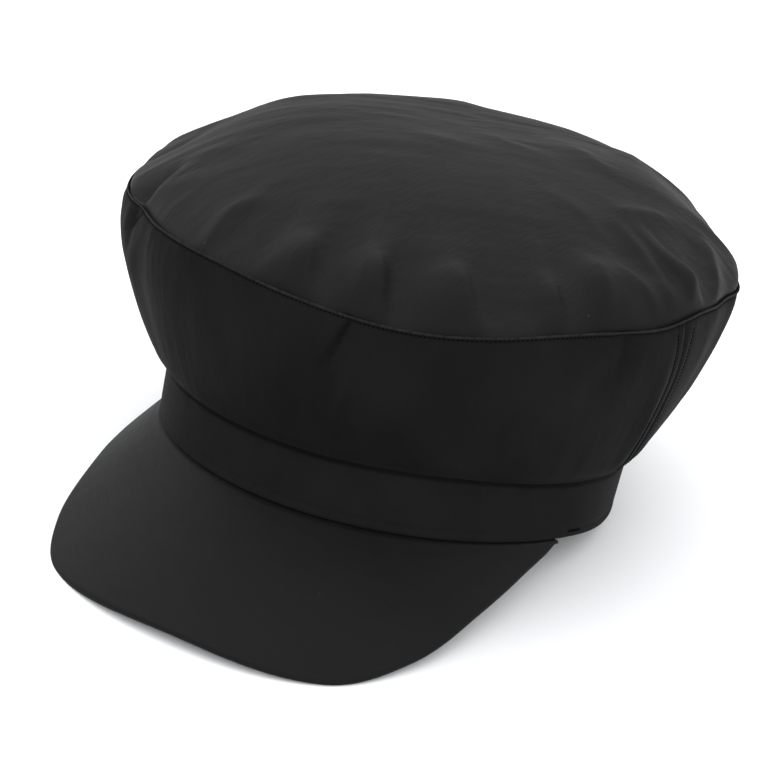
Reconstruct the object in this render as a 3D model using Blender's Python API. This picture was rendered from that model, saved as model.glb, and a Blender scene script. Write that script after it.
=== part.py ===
"""A soft fisherman cap: a wide puffed crown, two side panels, a head band and a short stiff peak.

Run with: blender --background --python part.py, or from Blender's text editor.
Metres, +Z up, the front of the cap towards -Y. The cap lies on a floor at z = 0, on the tip of its peak
and on the back of its rim. The origin is on the floor, under the middle of the cap's bounding box.

Every piece is first worked out in the cap's own upright frame, where the rim of the band is level at z = 0
and its centre is the origin. An empty then tips the pieces back into the resting pose.
Angles run round the cap in degrees: 0 is the front, 90 is +X and 180 is the back.
"""

import functools
import math

import bmesh
import bpy
import numpy as np
from mathutils import Vector

# Walls and clearances
CLOTH_WALL = 0.0012
BAND_WALL = 0.0026
PEAK_WALL = 0.0030
GAP = 0.0003

# Head band
RIM_HALF_WIDTH = 0.0916
RIM_HALF_LENGTH = 0.0947
BAND_HEIGHT = 0.0280
BAND_SIDE_TAPER = -0.0018
BAND_END_TAPER = 0.0035
HEM_ROUNDING = 0.0009
RIM_FLATTENING = 0.0026

# Side panels, which fold down over the top of the band
FOLD_DROP = 0.0055
FOLD_INNER_RADIUS = 0.0005
SEAM_HALF_WIDTH = 0.1166
SEAM_HALF_LENGTH = 0.1174
SEAM_SET_BACK = 0.0005
SEAM_HEIGHT = 0.0948
SEAM_BACK_RISE = 0.0114
SIDE_SEAM_TOP_ANGLE = 80.0
SIDE_SEAM_FOOT_ANGLE = 93.0
SEAM_ALLOWANCE = 0.0050

# Crown
DOME_HEIGHT = 0.0380
APEX_LEFT = 0.0100
APEX_BACK = 0.0083

# Peak
PEAK_REACH = 0.0606
PEAK_SPREAD = 72.7
PEAK_SLOPE = 37.6
PEAK_END_SLOPE = 50.9
PEAK_TURN_UP = 0.0080
PEAK_EDGE_ROUNDING = 0.0010

# How finely the walls are cut
STATIONS = 80
PEAK_STATIONS = 32

FOLD_RADIUS = CLOTH_WALL + FOLD_INNER_RADIUS

# The wall of a side panel between its fold and the crown seam, as shares of the height and of the flare
WALL_PROFILE = {
    "up": (0.00, 0.05, 0.14, 0.28, 0.46, 0.64, 0.80, 0.92, 1.00),
    "out": (0.00, 0.08, 0.18, 0.33, 0.51, 0.69, 0.84, 0.95, 1.00),
    "swell": (0.00, 0.25, 0.50, 0.75, 0.95, 1.00, 0.80, 0.40, 0.00),
}

# How far the wall swells past a straight line, as shares of the flare, at angles round the cap
WALL_SWELL = {
    "angle": (0, 45, 90, 135, 180, 225, 270, 315),
    "swell": (0.155, 0.155, 0.16, 0.165, 0.10, 0.14, 0.22, 0.24),
}

# How full the dome is at angles round the cap: the power of its rise from the crown seam to the apex
DOME_FULLNESS = {
    "angle": (0, 45, 90, 135, 180, 225, 270, 315),
    "power": (2.6, 2.6, 3.0, 3.6, 3.3, 2.6, 3.6, 2.8),
}
DOME_STEPS = (0.03, 0.08, 0.15, 0.24, 0.34, 0.45, 0.57, 0.70, 0.85)

# How far the rim of the band sags below its plane behind the ends of the peak, as shares of the band's height
RIM_SAG = {
    "angle": (0, 50, 75, 100, 140, 180, 220, 260, 285, 310),
    "sag": (0.0, 0.0, 0.05, 0.15, 0.08, 0.0, 0.08, 0.15, 0.05, 0.0),
}

# How the crown seam waves up and down, as shares of its height, at angles round the cap
SEAM_WAVE = {
    "angle": (0, 10, 20, 30, 40, 50, 57, 65, 74, 85, 95, 105, 120, 150, 180, 240, 270, 290, 303, 312, 325, 340, 350),
    "rise": (0.015, 0.0, -0.016, -0.019, -0.006, 0.012, 0.017, 0.010, 0.0, 0.014, -0.008, -0.032, -0.030, 0.0, 0.0,
             0.0, -0.020, -0.030, -0.015, 0.0, 0.010, 0.023, 0.027),
}

# Dents in the crown that run in from its seam: how far in they reach is a share of the way to the apex,
# and their depth is a share of the dome's height
CROWN_DENTS = {
    "angle": (-56, -41, -15.5, 3.5, 18, 33, 49, 64, 84, 112, 138, 165, 190, 222, 250, 275),
    "width": (9, 4, 4, 5.5, 5, 5.5, 5, 6.5, 4, 6, 7, 6, 7, 6, 6, 6),
    "reach": (0.32, 0.30, 0.24, 0.32, 0.32, 0.34, 0.26, 0.42, 0.34, 0.28, 0.30, 0.28, 0.30, 0.28, 0.32, 0.32),
    "depth": (0.16, 0.22, 0.11, 0.20, 0.22, 0.21, 0.09, 0.25, 0.22, 0.14, 0.14, 0.13, 0.14, 0.13, 0.16, 0.16),
}

# Folds in the side panels, from a foot up to the crown seam: the angles of both ends, and how far up the wall
# the foot lies. Their depth is a share of the seam's height, and below zero the wall bulges out
SIDE_FOLDS = {
    "top_angle": (-38, 15.5, 21, 35, 66, 76, 112, 150, 190, 225, 265),
    "foot_angle": (-46, 10, 15, 33, 66, 86, 108, 148, 192, 228, 262),
    "width": (4, 3.5, 4, 5, 4, 4, 5, 6, 6, 6, 5),
    "foot": (0.50, 0.40, 0.45, 0.45, 0.50, 0.12, 0.30, 0.35, 0.30, 0.35, 0.30),
    "depth": (0.030, 0.032, -0.020, -0.018, 0.026, -0.020, 0.026, 0.022, 0.022, 0.022, 0.024),
}

# The peak's reach from the rim, as shares of its reach at the front, at shares of its half spread
PEAK_OUTLINE = {
    "spread": (0.00, 0.33, 0.50, 0.66, 0.80, 0.90, 1.00),
    "reach": (1.00, 1.01, 0.78, 0.48, 0.28, 0.14, 0.02),
}

COLOURS = {
    "crown_top": (0.034, 0.032, 0.033),
    "side_front": (0.027, 0.025, 0.026),
    "side_back": (0.030, 0.028, 0.029),
    "band": (0.024, 0.023, 0.023),
    "peak": (0.031, 0.029, 0.029),
}


def clear_scene():
    for item in list(bpy.data.objects):
        bpy.data.objects.remove(item)


def curve_through(places, values, at):
    """Value at a place of the smooth curve through a table's rows, which stays at its first and last value."""
    places = np.asarray(places, float)
    values = np.asarray(values, float)
    slopes = np.zeros(len(values))
    slopes[1:-1] = (values[2:] - values[:-2]) / (places[2:] - places[:-2])
    slopes[0] = (values[1] - values[0]) / (places[1] - places[0])
    slopes[-1] = (values[-1] - values[-2]) / (places[-1] - places[-2])
    at = np.clip(at, places[0], places[-1])
    row = np.clip(np.searchsorted(places, at, side="right") - 1, 0, len(places) - 2)
    step = places[row + 1] - places[row]
    t = (at - places[row]) / step
    return (
        values[row] * (1 + 2 * t) * (1 - t) ** 2
        + values[row + 1] * (3 - 2 * t) * t**2
        + step * (slopes[row] * t * (1 - t) ** 2 + slopes[row + 1] * (t - 1) * t**2)
    )


def curve_round(angles, values, at):
    """The same for a table whose angles go once round the cap and close on themselves."""
    angles = np.asarray(angles, float)
    values = np.asarray(values, float)
    wrapped = np.concatenate([angles[-2:] - 360, angles, angles[:2] + 360])
    return curve_through(wrapped, np.concatenate([values[-2:], values, values[:2]]), at % 360)


def rim_point(angle):
    """Point of the rim's outer edge, and the direction square to it, both in plan."""
    turn = math.radians(angle)
    point = np.array([RIM_HALF_WIDTH * math.sin(turn), -RIM_HALF_LENGTH * math.cos(turn)])
    outward = np.array([math.sin(turn) / RIM_HALF_WIDTH, -math.cos(turn) / RIM_HALF_LENGTH])
    return point, outward / np.linalg.norm(outward)


def rim_drop(angle):
    """How far the rim sags below its plane at an angle."""
    return float(curve_round(RIM_SAG["angle"], RIM_SAG["sag"], angle)) * BAND_HEIGHT


def band_face(angle, height):
    """Plan point of the band's outer face, which leans in a little towards its top."""
    point, outward = rim_point(angle)
    facing_end = math.cos(math.radians(angle)) ** 2
    taper = BAND_SIDE_TAPER + (BAND_END_TAPER - BAND_SIDE_TAPER) * facing_end
    return point - outward * taper * height / BAND_HEIGHT


def seam_point(angle):
    """Point of the crown seam, where the side panels end and the crown begins."""
    turn = math.radians(angle)
    x = SEAM_HALF_WIDTH * math.sin(turn)
    y = SEAM_SET_BACK - SEAM_HALF_LENGTH * math.cos(turn)
    wave = 1 + curve_round(SEAM_WAVE["angle"], SEAM_WAVE["rise"], angle)
    return np.array([x, y, SEAM_HEIGHT * wave - SEAM_BACK_RISE * math.cos(turn)])


def upright(plan, height):
    return np.array([plan[0], plan[1], height])


def turn_between(angle, other):
    """Smallest turn from one angle to another, in degrees."""
    return (angle - other + 180) % 360 - 180


def side_fold(angle, up):
    """How far the folds draw a side panel in at an angle and at a share of the way up its wall."""
    depth = 0.0
    for top, bottom, width, foot, share in zip(*SIDE_FOLDS.values()):
        if up <= foot or up >= 1:
            continue
        along = (up - foot) / (1 - foot)
        off = turn_between(angle, bottom + turn_between(top, bottom) * along) / width
        depth += share * math.exp(-off * off) * math.sin(math.pi * along**0.7) ** 0.8
    return depth * SEAM_HEIGHT


def crown_dent(angle, way_in):
    """How far the dents lower the crown at an angle and at a share of the way in to the apex."""
    depth = 0.0
    for centre, width, reach, share in zip(*CROWN_DENTS.values()):
        if way_in >= reach:
            continue
        off = turn_between(angle, centre) / (width * (1 - 0.5 * way_in / reach))
        depth += share * math.exp(-off * off) * math.sin(math.pi * (way_in / reach) ** 0.8) ** 1.2
    return depth * DOME_HEIGHT


def wall_point(angle, up, out, share):
    """Point of a side panel's wall at an angle, at shares of its height, of its flare and of its swell."""
    _, outward = rim_point(angle)
    fold_bottom = BAND_HEIGHT - FOLD_DROP
    start = band_face(angle, fold_bottom) + outward * (1.2 * GAP + 2 * FOLD_RADIUS)
    start_height = fold_bottom + FOLD_RADIUS
    end = seam_point(angle)
    flare = end[:2] - start
    swell = curve_round(WALL_SWELL["angle"], WALL_SWELL["swell"], angle)
    outset = np.linalg.norm(flare) * swell * share - side_fold(angle, up)
    return upright(start + flare * out + outward * outset, start_height + (end[2] - start_height) * up)


def side_profile(angle, top_angle=None):
    """Points up the outer face of a side panel: over the band's top, down, round the fold and up to the seam.

    The line starts at one angle, and may end at another one at the seam.
    """
    top_angle = angle if top_angle is None else top_angle
    _, outward = rim_point(angle)
    fold_bottom = BAND_HEIGHT - FOLD_DROP
    points = [
        upright(band_face(angle, BAND_HEIGHT) - outward * 0.6 * BAND_WALL, BAND_HEIGHT + GAP),
        upright(band_face(angle, BAND_HEIGHT) + outward * 0.3 * GAP, BAND_HEIGHT + GAP),
        upright(band_face(angle, BAND_HEIGHT) + outward * 1.2 * GAP, BAND_HEIGHT - 2 * GAP),
    ]
    fold_centre = band_face(angle, fold_bottom) + outward * (1.2 * GAP + FOLD_RADIUS)
    for turn in (180, 225, 270, 315):
        reach = FOLD_RADIUS * math.cos(math.radians(turn))
        rise = FOLD_RADIUS * (1 + math.sin(math.radians(turn)))
        points.append(upright(fold_centre + outward * reach, fold_bottom + rise))
    for up, out, share in zip(WALL_PROFILE["up"], WALL_PROFILE["out"], WALL_PROFILE["swell"]):
        points.append(wall_point(angle + (top_angle - angle) * up, up, out, share))
    return np.array(points)


def tuck_profile(angle):
    """Points up the crown's seam allowance, which lies against the inside of the side panel's top edge."""
    wall = side_profile(angle)[-2:]
    _, outward = rim_point(angle)
    run = wall[-1] - wall[0]
    rise, out = run[2], float(run[:2] @ outward)
    inward = np.array([-outward[0] * rise, -outward[1] * rise, out]) / math.hypot(rise, out)
    top = wall[-1] + inward * (CLOTH_WALL + GAP)
    down = run / np.linalg.norm(run)
    return [top - down * SEAM_ALLOWANCE, top - down * SEAM_ALLOWANCE / 2, top]


def crown_profile(angle):
    """Points of the crown's outer face at an angle, from its tucked edge to just short of the apex."""
    points = tuck_profile(angle)
    rim = points[-1]
    apex = crown_apex()
    power = curve_round(DOME_FULLNESS["angle"], DOME_FULLNESS["power"], angle)
    for way_in in DOME_STEPS:
        rise = 1 - (1 - way_in) ** power
        plan = rim[:2] + (apex[:2] - rim[:2]) * way_in
        points.append(upright(plan, rim[2] + (apex[2] - rim[2]) * rise - crown_dent(angle, way_in)))
    return np.array(points)


def crown_apex():
    return np.array([-APEX_LEFT, APEX_BACK, SEAM_HEIGHT + DOME_HEIGHT])


def peak_reach(angle):
    share = min(abs(angle) / PEAK_SPREAD, 1.0)
    return PEAK_REACH * float(curve_through(PEAK_OUTLINE["spread"], PEAK_OUTLINE["reach"], share))


def peak_section(angle):
    """Closed outline of the peak's stiff plate at an angle: a root turned up inside the band, and the blade."""
    point, outward = rim_point(angle)
    share = min(abs(angle) / PEAK_SPREAD, 1.0)
    slope = math.radians(PEAK_SLOPE + (PEAK_END_SLOPE - PEAK_SLOPE) * share**2)
    reach = max(peak_reach(angle), 3 * PEAK_EDGE_ROUNDING)
    root_face = -(BAND_WALL + GAP)
    along = np.array([math.cos(slope), -math.sin(slope)])
    under = np.array([-math.sin(slope), -math.cos(slope)])
    foot = -rim_drop(angle) - GAP
    start = np.array([0.0, foot])
    edge = start + along * reach
    lean = float((point - band_face(angle, PEAK_TURN_UP)) @ outward)
    top = [
        np.array([root_face - PEAK_WALL - lean, PEAK_TURN_UP]),
        np.array([root_face - lean, PEAK_TURN_UP]),
        np.array([root_face, foot]),
        start,
    ]
    top += [start + along * reach * share for share in (0.25, 0.5, 0.75)]
    top += [
        edge - along * PEAK_EDGE_ROUNDING,
        edge + under * PEAK_EDGE_ROUNDING,
        edge + under * (PEAK_WALL - PEAK_EDGE_ROUNDING),
        edge + under * PEAK_WALL - along * PEAK_EDGE_ROUNDING,
    ]
    bottom = [start + under * PEAK_WALL + along * reach * share for share in (0.75, 0.5, 0.25)]
    heel = [np.array([root_face - PEAK_WALL, foot - PEAK_WALL * math.cos(slope)])]
    outline = top + bottom + heel
    return [upright(point + outward * out, height) for out, height in outline]


def peak_sections():
    return [peak_section(angle) for angle in np.linspace(-PEAK_SPREAD, PEAK_SPREAD, PEAK_STATIONS + 1)]


@functools.cache
def rest_tilt():
    """Angle by which the cap tips back to lie on the flattened back of its rim and on its peak."""
    pivot_y, pivot_z = RIM_HALF_LENGTH, RIM_FLATTENING
    corners = np.array(peak_sections()).reshape(-1, 3)
    return float(np.arctan2(pivot_z - corners[:, 2], pivot_y - corners[:, 1]).max())


def floor_height(y):
    """Height of the floor in the upright frame."""
    return RIM_FLATTENING + (y - RIM_HALF_LENGTH) * math.tan(rest_tilt())


def band_section(angle):
    """Closed outline of the folded band at an angle. Its rim is flattened where it would pass the floor."""
    _, outward = rim_point(angle)
    outline = []
    for inset, height in (
        (0.0, HEM_ROUNDING),
        (0.0, BAND_HEIGHT * 0.35),
        (0.0, BAND_HEIGHT * 0.70),
        (0.0, BAND_HEIGHT),
        (BAND_WALL, BAND_HEIGHT),
        (BAND_WALL, BAND_HEIGHT * 0.5),
        (BAND_WALL, HEM_ROUNDING),
        (BAND_WALL - HEM_ROUNDING, 0.0),
        (HEM_ROUNDING, 0.0),
    ):
        plan = band_face(angle, height) - outward * inset
        sag = rim_drop(angle) * (1 - height / BAND_HEIGHT)
        low = floor_height(plan[1]) if height <= HEM_ROUNDING else -1.0
        outline.append(upright(plan, max(height - sag, low)))
    return outline


def material_for(name):
    material = bpy.data.materials.new(name)
    material.use_nodes = True
    shader = material.node_tree.nodes["Principled BSDF"]
    shader.inputs["Base Color"].default_value = (*COLOURS[name], 1.0)
    shader.inputs["Roughness"].default_value = 0.55
    shader.inputs["Metallic"].default_value = 0.0
    material.diffuse_color = (*COLOURS[name], 1.0)
    return material


def object_from(name, shape):
    """Finishes a bmesh as a named, smooth-shaded object with its own material."""
    bmesh.ops.recalc_face_normals(shape, faces=shape.faces)
    mesh = bpy.data.meshes.new(name)
    shape.to_mesh(mesh)
    shape.free()
    mesh.shade_smooth()
    mesh.set_sharp_from_angle(angle=math.radians(40))
    mesh.materials.append(material_for(name))
    item = bpy.data.objects.new(name, mesh)
    bpy.context.scene.collection.objects.link(item)
    return item


def bridge(shape, first, second, closed):
    """Quads between two rows of vertices of equal count."""
    count = len(first)
    for i in range(count if closed else count - 1):
        j = (i + 1) % count
        shape.faces.new((first[i], first[j], second[j], second[i]))


def sheet(name, columns, closed, apex=None):
    """A cloth sheet through columns of points, thickened inwards into a wall."""
    shape = bmesh.new()
    rows = [[shape.verts.new(column[level]) for column in columns] for level in range(len(columns[0]))]
    for lower, upper in zip(rows, rows[1:]):
        bridge(shape, lower, upper, closed)
    if apex is not None:
        middle = shape.verts.new(apex)
        top = rows[-1]
        for i, vertex in enumerate(top):
            shape.faces.new((vertex, top[(i + 1) % len(top)], middle))
    item = object_from(name, shape)
    wall = item.modifiers.new("wall", "SOLIDIFY")
    wall.thickness = CLOTH_WALL
    wall.offset = -1.0
    wall.use_even_offset = True
    return item


def loft(name, sections, closed):
    """A solid through closed sections, joined end to end or capped at both ends."""
    shape = bmesh.new()
    rings = [[shape.verts.new(point) for point in section] for section in sections]
    for first, second in zip(rings, rings[1:]):
        bridge(shape, first, second, closed=True)
    if closed:
        bridge(shape, rings[-1], rings[0], closed=True)
    else:
        shape.faces.new(rings[0])
        shape.faces.new(reversed(rings[-1]))
    return object_from(name, shape)


def stations(seam_angle):
    """Angles of the stations round the cap, front and back, just clear of the side seams at an angle."""
    clear = math.degrees(GAP / SEAM_HALF_WIDTH) / 2
    front_count = round(STATIONS * 2 * SIDE_SEAM_TOP_ANGLE / 360)
    front = np.linspace(-seam_angle + clear, seam_angle - clear, front_count)
    back = np.linspace(seam_angle + clear, 360 - seam_angle - clear, STATIONS - front_count)
    return front, back


def build_crown_top():
    columns = [crown_profile(angle) for angle in np.concatenate(stations(SIDE_SEAM_TOP_ANGLE))]
    return sheet("crown_top", columns, closed=True, apex=crown_apex())


def build_side_panels():
    ends = zip(stations(SIDE_SEAM_FOOT_ANGLE), stations(SIDE_SEAM_TOP_ANGLE))
    panels = []
    for name, (feet, tops) in zip(("side_front", "side_back"), ends):
        columns = [side_profile(foot, top) for foot, top in zip(feet, tops)]
        panels.append(sheet(name, columns, closed=False))
    return panels


def build_band():
    sections = [band_section(angle) for angle in np.concatenate(stations(SIDE_SEAM_FOOT_ANGLE))]
    return loft("band", sections, closed=True)


def build_peak():
    return loft("peak", peak_sections(), closed=False)


def set_down(pieces):
    """Hangs the pieces on an empty that tips the cap back and puts the origin under its middle."""
    cap = bpy.data.objects.new("cap", None)
    bpy.context.scene.collection.objects.link(cap)
    cap.rotation_euler.x = -rest_tilt()
    for piece in pieces:
        piece.parent = cap
    bpy.context.view_layer.update()
    depsgraph = bpy.context.evaluated_depsgraph_get()
    corners = []
    for piece in pieces:
        seen = piece.evaluated_get(depsgraph)
        corners += [seen.matrix_world @ vertex.co for vertex in seen.to_mesh().vertices]
        seen.to_mesh_clear()
    low = Vector(min(corner[axis] for corner in corners) for axis in range(3))
    high = Vector(max(corner[axis] for corner in corners) for axis in range(3))
    middle = (low + high) / 2
    cap.location = (-middle.x, -middle.y, -low.z)
    return cap


def main():
    clear_scene()
    pieces = [build_crown_top(), *build_side_panels(), build_band(), build_peak()]
    set_down(pieces)


if __name__ == "__main__":
    main()
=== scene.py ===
"""The finished look of a black fisherman cap, lying on its peak and the back of its rim.

Every shape is worked out in the cap's own upright frame, with the rim level at z = 0 and the front at -Y.
Angles run round the cap in degrees: 0 is the front, 90 is +X and 180 is the back.
"""

import math

import bpy
import numpy as np
from mathutils import Matrix, Vector


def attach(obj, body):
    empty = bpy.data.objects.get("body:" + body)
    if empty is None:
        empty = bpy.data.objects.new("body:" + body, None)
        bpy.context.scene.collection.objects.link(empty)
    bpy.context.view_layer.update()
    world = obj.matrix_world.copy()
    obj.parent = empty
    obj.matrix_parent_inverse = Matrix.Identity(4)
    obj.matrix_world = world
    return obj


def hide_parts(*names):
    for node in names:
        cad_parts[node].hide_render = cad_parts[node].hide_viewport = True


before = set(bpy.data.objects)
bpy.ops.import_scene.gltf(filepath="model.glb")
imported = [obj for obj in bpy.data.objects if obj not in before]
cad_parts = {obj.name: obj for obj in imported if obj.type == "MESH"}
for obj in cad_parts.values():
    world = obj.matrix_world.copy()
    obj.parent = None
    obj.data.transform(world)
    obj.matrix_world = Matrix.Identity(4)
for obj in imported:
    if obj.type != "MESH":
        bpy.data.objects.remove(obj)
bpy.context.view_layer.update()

# How the upright cap is tipped and set down on the floor
REST_TILT = 10.957
REST_PLACE = (0.0001, 0.00545, 0.01545)
REST_CLEARANCE = 0.0002

# Sizes of the cap's pieces
CLOTH_WALL = 0.0012
BAND_WALL = 0.0026
PEAK_WALL = 0.0030
GAP = 0.0003
RIM_HALF_WIDTH = 0.0916
RIM_HALF_LENGTH = 0.0947
BAND_HEIGHT = 0.0280
BAND_EDGE = 0.0004
BAND_SIDE_TAPER = -0.0018
BAND_END_TAPER = 0.0035
RIM_FLATTENING = 0.0026
FOLD_DROP = 0.0055
FOLD_RADIUS = 0.0011
FOLD_CLEARANCE = 1.2 * GAP
SEAM_HALF_WIDTH = 0.1166
SEAM_HALF_LENGTH = 0.1174
SEAM_SET_BACK = 0.0005
SEAM_HEIGHT = 0.0948
SEAM_BACK_RISE = 0.0114
SEAM_EDGE = 0.0008
SEAM_EDGE_TAPER = 0.0016
SEAM_ALLOWANCE = 0.0050
SEAM_ALLOWANCE_TUCK = 0.0005
SIDE_SEAM_TOP_ANGLE = 80.0
SIDE_SEAM_FOOT_ANGLE = 93.0
DOME_HEIGHT = 0.0380
APEX_LEFT = 0.0100
APEX_BACK = 0.0083
APEX_SINK = 0.0022
PEAK_REACH = 0.0606
PEAK_SPREAD = 72.7
PEAK_SPREAD_RIGHT = 75.3
PEAK_SLOPE = 37.6
PEAK_END_SLOPE = 50.9
PEAK_TURN_UP = 0.0080
PEAK_END_THINNING = 0.7

# Stitching: where it lies below the crown seam, beside the side seams and above the hem, and its thread
TOPSTITCH_DROP = 0.0015
SEAM_STITCH_OFFSET = 0.0048
TACK_ENDS = (78.0, 84.0)
TACK_RISES = (0.0004, 0.0009)
STITCH_LENGTH = 0.0011
STITCH_PITCH = 0.0016
THREAD_RADIUS = 0.00023
THREAD_RINGS = 6
THREAD_SIDES = 6

# How finely the pieces are made: stations round the cap or degrees between them, and rows
CROWN_STATIONS = 552
CROWN_RINGS = 112
INNER_STEP = 3
FRONT_SPACING = 0.38
BACK_SPACING = 0.8
WALL_ROWS = 52
EDGE_ROWS = 16
EDGE_ROW_PITCH = 0.00045
BAND_STATIONS = 400
PEAK_STATIONS = 225

# How far in from the crown's seam its folds, bagging, ripples, gathers, steep faces and lean start or
# reach, as shares of the way to the apex
FOLD_START = 0.025
BAG_PLACE = 0.045
RIPPLE_START = 0.06
GATHER_REACH = 0.12
STEEP_START = 0.045
STEEP_REACH = 0.17
LEAN_START = 0.006
LEAN_REACH = 0.08

# The way the crown's crinkles run in plan, and the height of its fine gathers
CRINKLE_WAY = (0.82, 0.57)
GATHER_HEIGHT = 0.0004

# The pressed line above the band's hem, the dent under the fold with its start and end off the fold's
# lower edge, and the small puckers in the band and along the top of the sides
HEM_LINE = 0.0035
HEM_LINE_WIDTH = 0.0007
HEM_LINE_DEPTH = 0.0003
PINCH_START = -0.0026
PINCH_END = -0.0016
PINCH_DEPTH = 0.0014
BAND_PUCKER_LEVEL = 0.021
BAND_PUCKER_SPREAD = 0.004
SIDE_PUCKER_DROP = 0.004
SIDE_PUCKER_SPREAD = 0.0035
SIDE_PUCKER_HEIGHT = 0.00022

# How wide the painted highlight along the crown seam is: a lighter strip on the side panels' top edge,
# where it faces the overhead light
PAINTED_HIGHLIGHT_WIDTH = 0.00045

# The cloths: their colours, the turn of their grain in degrees, how strongly they are crinkled, how
# rough they are and how much they shine
# The side and band colours are about 1.7 times those of the crown and peak, though all are one satin:
# painted light that makes up for the lower shine of the sides and band
CLOTHS = {
    "name": ("crown_satin", "side_satin", "band_satin", "peak_satin"),
    "shade": (
        (0.0048, 0.0044, 0.0046),
        (0.0080, 0.0076, 0.0077),
        (0.0086, 0.0082, 0.0083),
        (0.0046, 0.0043, 0.0044),
    ),
    "grain_turn": (78, 90, 90, 20),
    "streak": (1.0, 0.8, 0.6, 0.35),
    "rough": (0.60, 0.72, 0.72, 0.58),
    "shine": (0.112, 0.026, 0.034, 0.12),
}
LINT_COLOUR = (0.075, 0.073, 0.07, 1.0)
# Colour of the painted highlight on the side panels' top edge at the crown seam, lighter than the cloth
PAINTED_HIGHLIGHT_COLOUR = (0.026, 0.0245, 0.025, 1.0)
THREAD_SHADE = (0.0012, 0.0012, 0.0012)

# The lights: where they stand, how wide and deep they are in metres and their power
LIGHTS = {
    "name": ("overhead", "left_side", "right_front"),
    "place": ((-0.30, 0.35, 1.50), (-1.3, 0.1, 0.60), (0.95, -1.05, 0.50)),
    "width": (1.8, 0.9, 0.9),
    "depth": (1.6, 0.9, 0.9),
    "power": (8.0, 2.4, 3.0),
}
LIT_MIDDLE = (0.0, 0.0, 0.08)
FLOOR_HALF_SIZE = 3.0

# Brightness of the room at the horizon and overhead, and how high up it is brightest
ROOM_LOW = 0.32
ROOM_HIGH = 1.50
ROOM_TOP = 0.45

# The camera: where it stands from the cap, how far its aim is off the rim's centre, and how it is
# turned
VIEW_AZIMUTH = 28.7
VIEW_ELEVATION = 28.0
VIEW_DISTANCE = 0.85
VIEW_AIM_RIGHT = -0.0021
VIEW_AIM_UP = 0.0216
VIEW_ROLL = 6.3
VIEW_LENS = 98.1

# How far out a side panel's wall is, as shares of the way from the fold to the seam, and how much of
# its swell it has there
WALL_PROFILE = {
    "up": (0.00, 0.05, 0.14, 0.28, 0.46, 0.64, 0.80, 0.92, 1.00),
    "out": (0.00, 0.08, 0.18, 0.33, 0.51, 0.69, 0.84, 0.95, 1.00),
    "swell": (0.00, 0.25, 0.50, 0.75, 0.95, 1.00, 0.80, 0.40, 0.00),
}

# How far a side panel swells, as shares of its flare
WALL_SWELL = {
    "angle": (0, 45, 90, 135, 180, 225, 270, 315),
    "swell": (0.155, 0.155, 0.16, 0.165, 0.10, 0.14, 0.22, 0.24),
}

# How steeply the dome rises from the seam: the higher the power, the fuller the crown
DOME_FULLNESS = {
    "angle": (0, 45, 90, 120, 145, 180, 225, 262, 295, 325),
    "power": (2.5, 2.5, 3.1, 4.4, 5.2, 4.0, 2.9, 3.0, 2.9, 2.6),
}

# How far the rim sags below its level, as shares of the band's height
RIM_SAG = {
    "angle": (0, 50, 75, 100, 140, 180, 220, 260, 285, 310),
    "sag": (0.0, 0.0, 0.05, 0.15, 0.08, 0.0, 0.08, 0.15, 0.05, 0.0),
}

# How far the crown seam rises above its level, as shares of its height
SEAM_WAVE = {
    "angle": (
        0, 10, 20, 30, 40, 50, 57, 65, 74, 85, 95, 105, 112, 122, 150, 180, 240, 270, 290, 303, 312, 325,
        340, 350,
    ),
    "rise": (
        0.015, 0.0, -0.016, -0.019, -0.006, 0.012, 0.017, 0.010, 0.0, 0.014, -0.008, -0.032, -0.040,
        -0.032, 0.0, 0.0, 0.0, -0.022, -0.036, -0.022, 0.0, 0.010, 0.023, 0.027,
    ),
}

# How far the pull of the crown's cloth moves the seam outwards, as shares of its half width
SEAM_PULL = {
    "angle": (0, 60, 80, 92, 101, 108, 114, 122, 132, 146, 160, 180, 270, 290, 300, 312, 320, 330),
    "out": (
        0, 0, 0, -0.004, -0.010, 0.012, 0.008, -0.020, -0.045, -0.048, -0.030, 0, 0, 0.012, 0.016, 0.014,
        -0.008, 0,
    ),
}

# How far the fold's lower edge lifts off its usual level along the band, in metres
FOLD_LIFT = {
    "angle": (0, 15, 32, 48, 62, 80, 100, 180, 300, 340),
    "lift": (0.0004, 0.0010, 0.0021, 0.0025, 0.0018, 0.0008, 0.0, 0.0, 0.0, 0.0),
}

# The peak's reach as shares of its longest, over shares of the spread to its left (below 0) and right
# ends
PEAK_OUTLINE = {
    "spread": (-1.00, -0.90, -0.80, -0.66, -0.50, -0.33, 0.00, 0.33, 0.50, 0.66, 0.80, 0.90, 1.00),
    "reach": (0.03, 0.23, 0.38, 0.57, 0.85, 1.06, 1.02, 1.01, 0.77, 0.45, 0.23, 0.11, 0.02),
}

# The groove of the cover's seam under the peak: its depth in metres at shares of the peak's reach
PEAK_SEAM = {
    "share": (1.0, 0.985, 0.972, 0.96, 0.945, 0.93),
    "groove": (0.0, 0.0002, 0.0007, 0.0002, 0.0, 0.0),
}

# Where the crown's cloth bags out over its seam, in metres
CROWN_OVERHANG = {
    "angle": (0, 60, 95, 108, 122, 145, 170, 200, 230, 262, 285, 302, 316, 335),
    "out": (0, 0, 0, 0.001, 0.0045, 0.0050, 0.0030, 0.002, 0.002, 0.0028, 0.0024, 0.0008, 0.0002, 0),
}

# How far the turn of its cloth lets the crown lean over the seam's edge, in metres
CROWN_LEAN = {
    "angle": (0, 60, 85, 102, 125, 200, 285, 308, 322, 340),
    "lean": (0.0001, 0.0001, 0.0004, 0.0011, 0.0012, 0.0008, 0.0012, 0.0011, 0.0004, 0.0001),
}

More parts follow.
